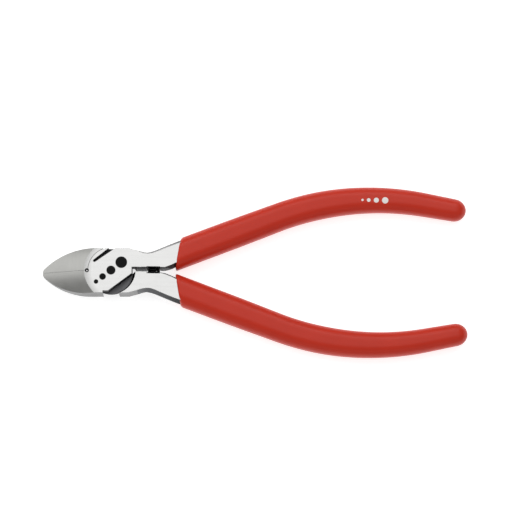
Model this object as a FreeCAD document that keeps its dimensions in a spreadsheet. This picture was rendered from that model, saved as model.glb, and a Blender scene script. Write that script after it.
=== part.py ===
"""Diagonal flush cutter with a lap joint, an opening spring and dipped grip sleeves.

Two forged halves cross at a rivet.  The front half carries the lower jaw and the
upper handle, the back half the upper jaw and the lower handle.  Each half is cut
away to half its thickness inside a recess round the rivet, so that the two laps lie
on each other.  The flush faces of the jaws point to +Z, the ground bevels behind the
cutting edges to -Z.

Frame: origin on the rivet's axis at the flat back face, X towards the handles,
Z up through the thickness.  The pieces are drawn about their middle plane, and each
one's Placement lifts it by half the head's thickness.  Millimetres.
"""

import FreeCAD, Part
import math
import os

import Sketcher

V = FreeCAD.Vector

DIMS = {
    # head
    "head_thick": 9.6,
    "head_half": 8.5,
    "lap_gap": 0.04,
    "recess_jaw_r": 8.82,
    "recess_lap_r": 8.05,
    "recess_rear_r": 8.75,
    "recess_root_r": 9.15,
    "recess_play": 0.1,
    "boss_r": 8.55,
    "boss_draft": 10.7,
    "gap_left": 3.15,
    "gap_right": 2.9,
    # jaws
    "jaw_x": 9.0,
    "jaw_arc_r": 26.0,
    "tip_x": 26.1,
    "tip_half": 0.4,
    "tip_r": 1.3,
    "tip_round": 0.5,
    "tip_steep": 2.3,
    "edge_play": 0.02,
    "throat_x": 9.1,
    "throat_r": 0.35,
    "flush_x": 10.2,
    "flush_crown_r": 24.0,
    "flush_slope": 24.0,
    "bevel_x": 10.0,
    "bevel_wedge": 50.0,
    "bevel_land": 0.35,
    # lap of the front half, and the groove across its face
    "lap_step_y": 7.7,
    "lap_low_x": 1.1,
    "lap_corner_x": 7.7,
    "lap_corner_y": 1.1,
    "slot_low_x": 1.5,
    "slot_low_slope": 34.8,
    "slot_high_x": 1.0,
    "slot_high_slope": 38.3,
    "slot_low_end": 6.2,
    "slot_high_end": 6.6,
    "slot_end_r": 0.52,
    "slot_deep": 2.4,
    # root of the handles
    "shoulder_x": 6.5,
    "neck_x": 10.8,
    "neck_y": 7.25,
    "inner_front": 1.3,
    "inner_back": 0.42,
    "inner_end_x": 32.0,
    # rivet
    "rivet_r": 3.0,
    "rivet_head_r": 4.2,
    "rivet_head_deep": 1.2,
    "rivet_play": 0.03,
    # opening spring and its seats
    "spring_x": 15.8,
    "spring_out_r": 2.45,
    "spring_wire": 0.8,
    "spring_turns": 10.0,
    "spring_play": 0.05,
    "seat_r": 2.6,
    "seat_deep": 4.0,
    "seat_half": 2.5,
    "seat_notch_front": 0.2,
    "seat_notch_back": 0.65,
    # line of the handles: a straight run, a bend and a straight end
    "bend_x": 99.0,
    "bend_y": 75.3,
    "bend_r": 103.0,
    "splay": 20.8,
    "tail_turn": 10.5,
    # tang under the sleeve
    "tang_flat": 0.8,
    "tang_end": 12.5,
    # sleeve
    "sleeve_cut_x": 25.0,
    "sleeve_cut_y": 7.0,
    "sleeve_cut_lean": 9.5,
    "sleeve_end": 11.6,
    "sleeve_cap": 4.6,
    # how far the shapes that are cut away reach past the metal
    "over": 1.0,
    "side_over": 6.0,
    "rim_over": 16.0,
    "jaw_over": 16.0,
    "flush_over": 80.0,
    "sleeve_over": 20.0,
}

doc = FreeCAD.newDocument("flush_cutter")
sheet = doc.addObject("Spreadsheet::Sheet", "dims")
for row, (alias, value) in enumerate(DIMS.items(), start=1):
    sheet.set(f"A{row}", alias)
    sheet.set(f"B{row}", str(value))
    sheet.setAlias(f"B{row}", alias)
doc.recompute()


def dim(alias):
    """The value of a cell of the sheet, in millimetres or degrees."""
    return float(sheet.get(alias))


def formula(text):
    """An expression for the document, from one in which every cell is written as <alias>."""
    return text.replace("<", "dims.").replace(">", "")


def number(text):
    """What such an expression comes to, in millimetres or degrees."""
    result = sheet.evalExpression(formula(text))
    return float(getattr(result, "Value", result))


def plane(body, role):
    """One of the body's own origin planes."""
    return next(f for f in body.Origin.OriginFeatures if f.Role == role)


def sketch_on(body, role, name, offset=None, turn=None, axis=V(0, 1, 0)):
    """A sketch on an origin plane of the body, moved and turned in that plane's own axes.

    offset holds one expression for each of x, y and z, and turn is an expression in degrees.
    """
    sketch = body.newObject("Sketcher::SketchObject", name)
    sketch.AttachmentSupport = [(plane(body, role), "")]
    sketch.MapMode = "FlatFace"
    if turn:
        sketch.AttachmentOffset = FreeCAD.Placement(V(), FreeCAD.Rotation(axis, number(turn)))
        sketch.setExpression(".AttachmentOffset.Rotation.Angle", formula(turn))
    for letter, text in zip("xyz", offset or ()):
        if text:
            sketch.setExpression(f".AttachmentOffset.Base.{letter}", formula(text))
    return sketch


def hold(sketch, kind, *where, size):
    """A dimension of the sketch that follows an expression."""
    index = sketch.addConstraint(Sketcher.Constraint(kind, *where, number(size)))
    sketch.setExpression(f"Constraints[{index}]", formula(size))
    return index


def pin(sketch, edge, end, x, y):
    """Holds an end of an edge at a point that is given by two expressions."""
    for kind, text in (("DistanceX", x), ("DistanceY", y)):
        hold(sketch, kind, -1, 1, edge, end, size=text)


def outline(sketch, points, arcs=None):
    """A closed outline through points, each a pair of expressions.

    arcs maps the number of a side to its radius and to 1 where it turns left, -1 where it turns right.
    """
    arcs = arcs or {}
    places = [V(number(x), number(y), 0) for x, y in points]
    count = len(places)
    for side in range(count):
        start, end = places[side], places[(side + 1) % count]
        if side not in arcs:
            sketch.addGeometry(Part.LineSegment(start, end))
            continue
        radius, way = number(arcs[side][0]), arcs[side][1]
        chord = end - start
        rise = math.sqrt(max(0.0, radius**2 - chord.Length**2 / 4))
        normal = V(-chord.y, chord.x, 0).normalize()
        centre = (start + end) / 2 + normal * rise * way
        middle = centre - normal * radius * way
        sketch.addGeometry(Part.Arc(start, middle, end))
    ends = {}
    for side in range(count):
        # an arc is stored anticlockwise, so one that turns right starts at its end point
        ends[side] = (2, 1) if side in arcs and arcs[side][1] < 0 else (1, 2)
    for side in range(count):
        after = (side + 1) % count
        sketch.addConstraint(
            Sketcher.Constraint("Coincident", side, ends[side][1], after, ends[after][0])
        )
        pin(sketch, side, ends[side][0], *points[side])
        if side in arcs:
            hold(sketch, "Radius", side, size=arcs[side][0])


def pad(body, sketch, name, length, both=True, down=False, draft="0"):
    """A Pad of the sketch, on both sides of it or on one, its sides leaning inwards by the draft."""
    feature = body.newObject("PartDesign::Pad", name)
    feature.Profile = sketch
    feature.Midplane = both
    feature.Reversed = down
    feature.setExpression("Length", formula(length))
    feature.setExpression("TaperAngle", formula(f"-({draft})"))
    return feature


def cut(body, sketch, name, length, both=False, flip=False):
    """A Pocket of the sketch.  It has to take something away."""
    before = body.Shape.Volume
    feature = body.newObject("PartDesign::Pocket", name)
    feature.Profile = sketch
    feature.Midplane = both
    feature.Reversed = flip
    feature.setExpression("Length", formula(length))
    doc.recompute()
    report_cut(name, before, body.Shape.Volume)
    return feature


def groove(body, sketch, name, angle="360", flip=False):
    """A Groove of the sketch round the rivet's axis.  It has to take something away."""
    before = body.Shape.Volume
    feature = body.newObject("PartDesign::Groove", name)
    feature.Profile = sketch
    feature.ReferenceAxis = (sketch, ["V_Axis"])
    feature.Reversed = flip
    feature.setExpression("Angle", formula(angle))
    doc.recompute()
    report_cut(name, before, body.Shape.Volume)
    return feature


def report_cut(name, before, after):
    """Stops the script where a cut took nothing away."""
    if before - after < 0.01:
        raise RuntimeError(f"{name} cut nothing: {before:.2f} to {after:.2f} mm3")
    print(f"{name}: cut {before - after:.1f} mm3")


def eight_sided(body, name, station, top, middle, half_high, side):
    """A tang section: flat above and below, its drafted sides meeting in a narrow flat."""
    sketch = section_sketch(body, name, station, side)
    w, m, h, f = (number(t) for t in (f"({top})/2", f"({middle})/2", half_high, "<tang_flat>/2"))
    corners = [(w, h), (m, f), (m, -f), (w, -h), (-w, -h), (-m, -f), (-m, f), (-w, h)]
    for a, b in zip(corners, corners[1:] + corners[:1]):
        sketch.addGeometry(Part.LineSegment(V(*a, 0), V(*b, 0)))
    for edge in range(8):
        sketch.addConstraint(Sketcher.Constraint("Coincident", edge, 2, (edge + 1) % 8, 1))
    for a, b, line in ((0, 7, -2), (3, 4, -2), (1, 6, -2), (0, 3, -1), (1, 2, -1), (6, 5, -1)):
        sketch.addConstraint(Sketcher.Constraint("Symmetric", a, 1, b, 1, line))
    hold(sketch, "DistanceX", 7, 1, 0, 1, size=top)
    hold(sketch, "DistanceX", 6, 1, 1, 1, size=middle)
    hold(sketch, "DistanceY", 3, 1, 0, 1, size=f"2*({half_high})")
    hold(sketch, "DistanceY", 2, 1, 1, 1, size="<tang_flat>")
    return sketch


def rounded(body, name, station, wide, high, corner, side):
    """A sleeve section: a rectangle with large round corners."""
    sketch = section_sketch(body, name, station, side)
    w, h, r = number(wide) / 2, number(high) / 2, number(corner)
    quarter = math.pi / 2
    for k, (sx, sy) in enumerate(((1, 1), (-1, 1), (-1, -1), (1, -1))):
        centre = V(sx * (w - r), sy * (h - r), 0)
        circle = Part.Circle(centre, V(0, 0, 1), r)
        sketch.addGeometry(Part.ArcOfCircle(circle, k * quarter, (k + 1) * quarter))
    lines = (((w - r, h), (r - w, h)), ((-w, h - r), (-w, r - h)),
             ((r - w, -h), (w - r, -h)), ((w, r - h), (w, h - r)))
    for a, b in lines:
        sketch.addGeometry(Part.LineSegment(V(*a, 0), V(*b, 0)))
    for k in range(4):
        sketch.addConstraint(Sketcher.Constraint("Tangent", k, 2, 4 + k, 1))
        sketch.addConstraint(Sketcher.Constraint("Tangent", 4 + k, 2, (k + 1) % 4, 1))
        sketch.addConstraint(Sketcher.Constraint("Vertical" if k % 2 else "Horizontal", 4 + k))
    for k in (1, 2, 3):
        sketch.addConstraint(Sketcher.Constraint("Equal", 0, k))
    sketch.addConstraint(Sketcher.Constraint("Symmetric", 4, 1, 6, 1, -1, 1))
    hold(sketch, "Radius", 0, size=corner)
    hold(sketch, "DistanceX", 5, 1, 7, 2, size=wide)
    hold(sketch, "DistanceY", 6, 2, 4, 1, size=high)
    return sketch


def section_sketch(body, name, station, side):
    """A sketch square to the handle at a station (x, y, turn); side is 1 above, -1 below."""
    x, y, turn = station
    return sketch_on(body, "YZ_Plane", name, (f"{side}*({y})", None, x), f"{side}*({turn})")


def on_handle(turn, run):
    """The station of the handle's line where it has turned to an angle, run past it along the tangent."""
    x = f"<bend_x> - <bend_r>*sin({turn}*1 deg) + ({run})*cos({turn}*1 deg)"
    y = f"<bend_r>*cos({turn}*1 deg) - <bend_y> + ({run})*sin({turn}*1 deg)"
    return x, y, turn


def loft(body, sections, name):
    """A smooth loft through the sections."""
    feature = body.newObject("PartDesign::AdditiveLoft", name)
    feature.Profile = sections[0]
    feature.Sections = sections[1:]
    doc.recompute()
    return feature


# --- stations down a handle: where, width of the flat, full width, half thickness ---
NECK = (
    (("8.2", "4.15", "0"), "7.75", "7.8", "<head_thick>/2 - 0.02"),
    (("11.0", "3.7", "0"), "7.0", "7.6", "<head_thick>/2 - 0.03"),
    (("14.4", "3.55", "5"), "6.4", "8.2", "<head_thick>/2 - 0.2"),
    (("18.6", "4.5", "15"), "7.0", "8.8", "<head_thick>/2 - 0.6"),
)
TANG = (
    (("24.1", "6.8", "<splay>"), "6.9", "8.8", "3.85"),
    (on_handle("<splay>", "-22"), "5.6", "8.5", "3.6"),
    (on_handle("<splay>", "0"), "5.2", "8.1", "3.5"),
    (on_handle("<splay>/2", "0"), "5.0", "7.9", "3.45"),
    (on_handle("0", "0"), "4.5", "7.2", "3.35"),
    (on_handle("-<tail_turn>", "0"), "4.0", "6.5", "3.2"),
    (on_handle("-<tail_turn>", "<tang_end>"), "3.6", "5.6", "3.0"),
)
SLEEVE = (
    (on_handle("<splay>", "-46"), "11.0", "9.5", "3.7"),
    (on_handle("<splay>", "-30"), "11.0", "9.5", "3.7"),
    (on_handle("<splay>", "-15"), "10.9", "9.5", "3.7"),
    (on_handle("<splay>", "0"), "10.5", "9.45", "3.6"),
    (on_handle("<splay>/2", "0"), "10.3", "9.4", "3.6"),
    (on_handle("0", "0"), "9.6", "9.2", "3.5"),
    (on_handle("-<tail_turn>", "0"), "8.9", "8.8", "3.4"),
    (on_handle("-<tail_turn>", "<sleeve_end>"), "8.4", "8.4", "3.3"),
)
# corners of a round hole that is drawn as three arcs
THIRDS = ("90 deg", "210 deg", "330 deg")
# share of the cap's length and of the section's size
CAP = ((0.32, 0.95), (0.6, 0.8), (0.83, 0.56), (0.96, 0.29), (1.0, 0.1))


def head_plates(body, side):
    """The jaw and the root of the handle, both through the whole thickness.

    side is 1 on the half whose handle lies above, so that its jaw lies below.
    """
    jaw = sketch_on(body, "XY_Plane", "jaw_plan")
    edge = "0" if side > 0 else "<edge_play>"
    outline(
        jaw,
        [
            ("-<gap_left>", edge),
            ("-<tip_x>", edge),
            ("-<tip_x>", f"{-side}*<tip_half>"),
            ("-<tip_x> + <tip_round>", f"{-side}*(<tip_half> + <tip_steep>*<tip_round>)"),
            ("-<jaw_x>", f"{-side}*<head_half>"),
            ("-<gap_left>", f"{-side}*<head_half>"),
        ],
        {2: ("<tip_r>", side), 3: ("<jaw_arc_r>", side)},
    )
    pad(body, jaw, "jaw", "<head_thick>")
    root = sketch_on(body, "XY_Plane", "root_plan")
    inner = "<inner_front>" if side > 0 else "-<inner_back>"
    outline(
        root,
        [
            ("<gap_right>", inner),
            ("<neck_x>", inner),
            ("<neck_x>", f"{side}*<neck_y>"),
            ("<shoulder_x>", f"{side}*<head_half>"),
            ("<gap_right>", f"{side}*<head_half>"),
        ],
    )
    return root


def lap_recess(body, side):
    """The recess for the other half's lap: a cylinder on the jaw's side, a cone on the handle's."""
    lap, face = f"{side}*<lap_gap>/2", f"{-side}*<head_thick>/2"
    root_r = "<recess_rear_r>" if side > 0 else "<recess_lap_r>"
    beyond = f"{-side}*(<head_thick>/2 + <over>)"
    walls = (
        ("jaw_recess", "<recess_jaw_r>", "<recess_jaw_r>", False),
        ("root_recess", root_r, "<recess_root_r>", True),
    )
    for name, lap_r, face_r, flip in walls:
        sketch = sketch_on(body, "YZ_Plane", f"{name}_section")
        outline(sketch, [("0", lap), (lap_r, lap), (face_r, face), (face_r, beyond), ("0", beyond)])
        groove(body, sketch, name, "180", flip)


def lap_rim(body):
    """Rounds the front half's lap towards the back half's jaw, so that it turns inside the recess."""
    sketch = sketch_on(body, "XZ_Plane", "lap_rim_section")
    rim, beyond = "-(<recess_jaw_r> - <recess_play>)", "<head_thick>/2 + <over>"
    outline(sketch, [(rim, "0"), (rim, beyond), ("-<rim_over>", beyond), ("-<rim_over>", "0")])
    groove(body, sketch, "lap_rim", "90", flip=True)


def face_slot(body):
    """The slot milled across the front half's face, from a round end to a wider mouth."""
    sketch = sketch_on(body, "XY_Plane", "slot_plan", ("0", "0", "<head_thick>/2"))
    low = "<head_half> + (({}) - <slot_low_x>)*tan(<slot_low_slope>*1 deg)"
    high = "<head_half> + (({}) + <slot_high_x>)*tan(<slot_high_slope>*1 deg)"
    low_out, high_out = "<slot_low_x> + <over>", "-<slot_high_x> + <over>"
    outline(
        sketch,
        [
            ("-<slot_low_end>", low.format("-<slot_low_end>")),
            (low_out, low.format(low_out)),
            (high_out, high.format(high_out)),
            ("-<slot_high_end>", high.format("-<slot_high_end>")),
        ],
        {3: ("<slot_end_r>", 1)},
    )
    cut(body, sketch, "face_slot", "<slot_deep>")


def rivet_bore(body, side, play):
    """The bore and its countersink, on the face that the half's lap has."""
    sketch = sketch_on(body, "XZ_Plane", "bore_section")
    outline(
        sketch,
        [
            ("0", f"{-side}*(<head_thick>/2 + <over>)"),
            (f"<rivet_r> + {play}", f"{-side}*(<head_thick>/2 + <over>)"),
            (f"<rivet_r> + {play}", f"{side}*(<head_thick>/2 - <rivet_head_deep>)"),
            (f"<rivet_head_r> + {play}", f"{side}*<head_thick>/2"),
            (f"<rivet_head_r> + {play}", f"{side}*(<head_thick>/2 + <over>)"),
            ("0", f"{side}*(<head_thick>/2 + <over>)"),
        ],
    )
    groove(body, sketch, "rivet_bore")


def jaw_faces(body, side):
    """The crowned flush face, the throat hole and the bevel behind the cutting edge."""
    at_edge = ("0", "<head_thick>/2", "-<flush_x>")
    flush = sketch_on(body, "YZ_Plane", "flush_section", at_edge, "-<flush_slope>", V(1, 0, 0))
    wide = "<jaw_over>"
    drop = f"sqrt(<flush_crown_r>^2 - {wide}^2) - <flush_crown_r>"
    outline(
        flush,
        [(f"-{wide}", drop), (wide, drop), (wide, wide), (f"-{wide}", wide)],
        {0: ("<flush_crown_r>", -1)},
    )
    cut(body, flush, "flush_face", "<flush_over>", both=True)
    throat = sketch_on(body, "XY_Plane", "throat_plan")
    third = ("<throat_r>", 1)
    spots = [(f"<throat_r>*cos({a}) - <throat_x>", f"<throat_r>*sin({a})") for a in THIRDS]
    outline(throat, spots, {0: third, 1: third, 2: third})
    cut(body, throat, "throat_hole", "<head_thick> + 2*<over>", both=True)
    at_bevel = ("0", "<head_thick>/2", "-<bevel_x>")
    bevel = sketch_on(body, "YZ_Plane", "bevel_section", at_bevel, "-<flush_slope>", V(1, 0, 0))
    steep = "tan(<bevel_wedge>*1 deg)"
    outline(
        bevel,
        [
            (f"{side}*<over>", f"-<bevel_land> + <over>*{steep}"),
            (f"{side}*<over>", "-<jaw_over>"),
            (f"{-side}*(<jaw_over> - <bevel_land>)/{steep}", "-<jaw_over>"),
        ],
    )
    cut(body, bevel, "edge_bevel", "<tip_x>")


def spring_seat(body, side):
    """The blind bore that holds an end of the spring, in a shallow notch across the handle."""
    inner = "<inner_front>" if side > 0 else "<inner_back>"
    notch = "<seat_notch_front>" if side > 0 else "<seat_notch_back>"
    plan = sketch_on(body, "XY_Plane", "notch_plan")
    low, high = f"{side}*({inner} - <side_over>)", f"{side}*({inner} + {notch})"
    outline(
        plan,
        [
            ("<spring_x> - <seat_half>", low),
            ("<spring_x> + <seat_half>", low),
            ("<spring_x> + <seat_half>", high),
            ("<spring_x> - <seat_half>", high),
        ],
    )
    cut(body, plan, "seat_notch", "<head_thick> + 2*<over>", both=True)
    # the XZ plane's own z axis points to -Y
    bore = sketch_on(body, "XZ_Plane", "seat_plan", ("0", "0", f"{-side}*{inner}"))
    bore.addGeometry(Part.Circle(V(dim("spring_x"), 0, 0), V(0, 0, 1), dim("seat_r")))
    pin(bore, 0, 3, "<spring_x>", "0")
    hold(bore, "Radius", 0, size="<seat_r>")
    cut(body, bore, "seat_bore", "<seat_deep>", flip=side < 0)


def inner_flat(body, side):
    """The flat milled along the handle's inner side, which is otherwise drafted."""
    inner = "<inner_front>" if side > 0 else "<inner_back>"
    sketch = sketch_on(body, "XY_Plane", "inner_flat_plan")
    outline(
        sketch,
        [
            ("<lap_corner_x>", f"{side}*({inner} - <side_over>)"),
            ("<inner_end_x>", f"{side}*({inner} - <side_over>)"),
            ("<inner_end_x>", f"{side}*{inner}"),
            ("<lap_corner_x>", f"{side}*{inner}"),
        ],
    )
    cut(body, sketch, "inner_flat", "<head_thick> + 2*<over>", both=True)


def forged_half(label, side):
    """A whole half: side is 1 for the front half, whose lap is on top, and -1 for the back half.

    The back half's lap is a drafted boss, widest at the middle plane.
    """
    body = doc.addObject("PartDesign::Body", label)
    lap = sketch_on(body, "XY_Plane", "lap_plan", ("0", "0", f"{side}*<lap_gap>/2"))
    deep = "(<head_thick> - <lap_gap>)/2"
    if side > 0:
        outline(
            lap,
            [
                ("-<jaw_x>", "-<head_half>"),
                ("-<gap_left>", "-<head_half>"),
                ("-<gap_left>", "-<lap_step_y>"),
                ("-<lap_low_x>", "-<lap_step_y>"),
                ("<lap_corner_x>", "-<lap_corner_y>"),
                ("<lap_corner_x>", "<inner_front>"),
                ("<neck_x>", "<inner_front>"),
                ("<neck_x>", "<neck_y>"),
                ("<shoulder_x>", "<head_half>"),
                ("-<jaw_x>", "<head_half>"),
            ],
        )
        pad(body, lap, "lap", deep, both=False)
    else:
        lap.addGeometry(Part.Circle(V(), V(0, 0, 1), dim("boss_r")))
        pin(lap, 0, 3, "0", "0")
        hold(lap, "Radius", 0, size="<boss_r>")
        pad(body, lap, "lap", deep, both=False, down=True, draft="<boss_draft>")
    root = head_plates(body, side)
    pad(body, root, "root", "<head_thick>")
    sections = [
        eight_sided(body, f"section_{k}", station, top, middle, half, side)
        for k, (station, top, middle, half) in enumerate(NECK + TANG)
    ]
    loft(body, sections, "tang")
    inner_flat(body, side)
    lap_recess(body, side)
    if side > 0:
        lap_rim(body)
        face_slot(body)
    rivet_bore(body, side, "0" if side > 0 else "<rivet_play>")
    jaw_faces(body, side)
    spring_seat(body, side)
    return body


def sleeve(label, side, tang):
    """A dipped sleeve: a closed soft tube, cut off at a slant in front and filled by the tang."""
    body = doc.addObject("PartDesign::Body", f"{label}_outer")
    sections = [
        rounded(body, f"section_{k}", station, wide, high, corner, side)
        for k, (station, wide, high, corner) in enumerate(SLEEVE)
    ]
    loft(body, sections, "tube")
    station, wide, high, corner = SLEEVE[-1]
    cap = [rounded(body, "cap_0", station, wide, high, corner, side)]
    for k, (along, share) in enumerate(CAP, start=1):
        station = on_handle("-<tail_turn>", f"<sleeve_end> + {along}*<sleeve_cap>")
        sizes = [f"{share}*{size}" for size in (wide, high, corner)]
        cap.append(rounded(body, f"cap_{k}", station, *sizes, side))
    loft(body, cap, "cap")
    front = sketch_on(body, "XY_Plane", "front_plan")
    lean = "<sleeve_over>*tan(<sleeve_cut_lean>*1 deg)"
    inner, outer = f"{side}*(<sleeve_cut_y> - <sleeve_over>)", f"{side}*(<sleeve_cut_y> + <sleeve_over>)"
    outline(
        front,
        [
            (f"<sleeve_cut_x> - {lean}", inner),
            (f"<sleeve_cut_x> + {lean}", outer),
            ("0", outer),
            ("0", inner),
        ],
    )
    cut(body, front, "front_cut", "<head_thick> + 2*<over>", both=True)
    hollow = doc.addObject("Part::Cut", label)
    hollow.Base = body
    hollow.Tool = tang
    return hollow


def rivet():
    """The rivet, its two heads set flush into the countersinks."""
    body = doc.addObject("PartDesign::Body", "pivot_rivet")
    sketch = sketch_on(body, "XZ_Plane", "rivet_section")
    face, neck = "<head_thick>/2", "(<head_thick>/2 - <rivet_head_deep>)"
    outline(
        sketch,
        [
            ("0", f"-{face}"),
            ("<rivet_head_r>", f"-{face}"),
            ("<rivet_r>", f"-{neck}"),
            ("<rivet_r>", neck),
            ("<rivet_head_r>", face),
            ("0", face),
        ],
    )
    turned = body.newObject("PartDesign::Revolution", "turned")
    turned.Profile = sketch
    turned.ReferenceAxis = (sketch, ["V_Axis"])
    turned.Angle = 360
    return body


def spring():
    """The compression spring between the handles, at the length that it has with the jaws shut."""
    low = "(-<inner_back> - <seat_deep> + <spring_play>)"
    high = "(<inner_front> + <seat_deep> - <spring_play>)"
    coil_r, wire_r = "(<spring_out_r> - <spring_wire>/2)", "<spring_wire>/2"
    helix = doc.addObject("Part::Helix", "spring_line")
    helix.Placement = FreeCAD.Placement(V(), FreeCAD.Rotation(V(1, 0, 0), -90))
    wire = doc.addObject("Part::Circle", "spring_wire_section")
    bindings = (
        (helix, "Radius", coil_r),
        (helix, "Height", f"{high} - {low} - <spring_wire>"),
        (helix, "Pitch", f"({high} - {low} - <spring_wire>)/<spring_turns>"),
        (helix, ".Placement.Base.x", "<spring_x>"),
        (helix, ".Placement.Base.y", f"{low} + {wire_r}"),
        (wire, "Radius", wire_r),
        (wire, ".Placement.Base.x", f"<spring_x> + {coil_r}"),
        (wire, ".Placement.Base.y", f"{low} + {wire_r}"),
    )
    for item, name, text in bindings:
        item.setExpression(name, formula(text))
    doc.recompute()
    swept = doc.addObject("Part::Sweep", "opening_spring")
    swept.Sections = [wire]
    swept.Spine = (helix, [])
    swept.Solid = True
    swept.Frenet = True
    return swept


front_half = forged_half("front_half", 1)
back_half = forged_half("back_half", -1)
solid_pieces = [front_half, back_half, rivet(), spring()]
sleeves = [sleeve("upper_sleeve", 1, front_half), sleeve("lower_sleeve", -1, back_half)]
doc.recompute()

# a hollow sleeve is lifted through the body that it is cut from
for lifted in solid_pieces + [hollow.Base for hollow in sleeves]:
    lifted.setExpression(".Placement.Base.z", formula("<head_thick>/2"))
doc.recompute()

for item in doc.Objects:
    if "Invalid" in item.State or "Error" in item.State:
        raise RuntimeError(f"{item.Name} failed: {item.State}")

os.makedirs("parts", exist_ok=True)
for piece in solid_pieces + sleeves:
    shape = piece.Shape
    if shape.isNull() or not shape.isValid():
        raise RuntimeError(f"{piece.Label} has no valid shape")
    shape.exportStep(f"parts/{piece.Label}.step")
    box = shape.BoundBox
    print(
        f"{piece.Label}: {len(shape.Solids)} solid, {shape.Volume:.1f} mm3, "
        f"x {box.XMin:.2f} to {box.XMax:.2f}, y {box.YMin:.2f} to {box.YMax:.2f}, "
        f"z {box.ZMin:.2f} to {box.ZMax:.2f}"
    )
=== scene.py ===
"""Looks of a diagonal flush cutter: polished forged halves, dipped vinyl sleeves and a black coil spring.

Everything is in metres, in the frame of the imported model: the origin on the rivet's axis at the flat back,
X towards the handles, Z out of the flush-ground side.  Sizes in the classes are in millimetres.
"""

from __future__ import annotations

import logging
import math
from collections.abc import Mapping
from dataclasses import dataclass
from enum import Enum

import bmesh
import bpy
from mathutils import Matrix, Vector


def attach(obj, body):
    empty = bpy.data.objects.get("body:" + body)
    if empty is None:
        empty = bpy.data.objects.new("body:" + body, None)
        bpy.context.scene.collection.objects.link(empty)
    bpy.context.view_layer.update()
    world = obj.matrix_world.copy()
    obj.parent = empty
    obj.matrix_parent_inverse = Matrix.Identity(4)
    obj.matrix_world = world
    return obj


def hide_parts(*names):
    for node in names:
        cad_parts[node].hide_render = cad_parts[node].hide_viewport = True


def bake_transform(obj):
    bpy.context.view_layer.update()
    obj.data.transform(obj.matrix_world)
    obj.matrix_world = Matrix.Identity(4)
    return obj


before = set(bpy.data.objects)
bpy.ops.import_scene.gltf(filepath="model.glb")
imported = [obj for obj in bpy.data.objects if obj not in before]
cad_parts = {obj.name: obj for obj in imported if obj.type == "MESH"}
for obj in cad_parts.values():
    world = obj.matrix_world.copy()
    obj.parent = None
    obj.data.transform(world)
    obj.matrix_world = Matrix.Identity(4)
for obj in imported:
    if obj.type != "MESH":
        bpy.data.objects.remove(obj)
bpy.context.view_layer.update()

MM = 0.001
# a mask's sharp edge fades over twice this, in millimetres
SHARP = 0.01
LOG = logging.getLogger("flush_cutter")


class Body(Enum):
    """The rigid bodies that turn on each other."""

    BACK = "back_side"
    FRONT = "front_side"


class Slot(Enum):
    """Names of the record's material slots for the new pieces."""

    SPRING = "spring_steel"
    VINYL = "dipped_vinyl"


class Side(Enum):
    """A handle, above or below the centre line."""

    UPPER = 1
    LOWER = -1


def linear(hex_code: str) -> tuple[float, float, float, float]:
    """Turns an sRGB colour to the linear values that shaders take.

    Args:
        hex_code: Six hex digits after a hash.

    Returns:
        Linear red, green, blue and a full alpha.
    """
    parts = [int(hex_code[k : k + 2], 16) / 255 for k in (1, 3, 5)]
    red, green, blue = (p / 12.92 if p <= 0.04045 else ((p + 0.055) / 1.055) ** 2.4 for p in parts)
    return red, green, blue, 1.0


def add_node(
    tree: bpy.types.NodeTree,
    kind: str,
    inputs: Mapping[int | str, object] | None = None,
    **settings: object,
) -> bpy.types.Node:
    """Adds one node with its settings, input values and links.

    Args:
        tree: The tree that gets the node.
        kind: The node's type name.
        inputs: Input name or number to a value, or to the socket that feeds it.
        **settings: The node's own properties, such as its operation.

    Returns:
        The new node.
    """
    node = tree.nodes.new(kind)
    for name, value in settings.items():
        setattr(node, name, value)
    for key, value in (inputs or {}).items():
        if isinstance(value, bpy.types.NodeSocket):
            tree.links.new(value, node.inputs[key])
        else:
            node.inputs[key].default_value = value
    return node


def blank_material(name: str) -> tuple[bpy.types.Material, bpy.types.NodeTree]:
    """Makes a material with an empty node tree.

    Args:
        name: What the material is and how its surface was made.

    Returns:
        The material and its tree.
    """
    material = bpy.data.materials.new(name)
    material.use_nodes = True
    material.node_tree.nodes.clear()
    return material, material.node_tree


@dataclass(frozen=True)
class Finish:
    """Colour and gloss of one kind of surface on a forging.

    Attributes:
        colour: sRGB hex colour.
        roughness: Microfacet roughness.
    """

    colour: str
    roughness: float


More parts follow.
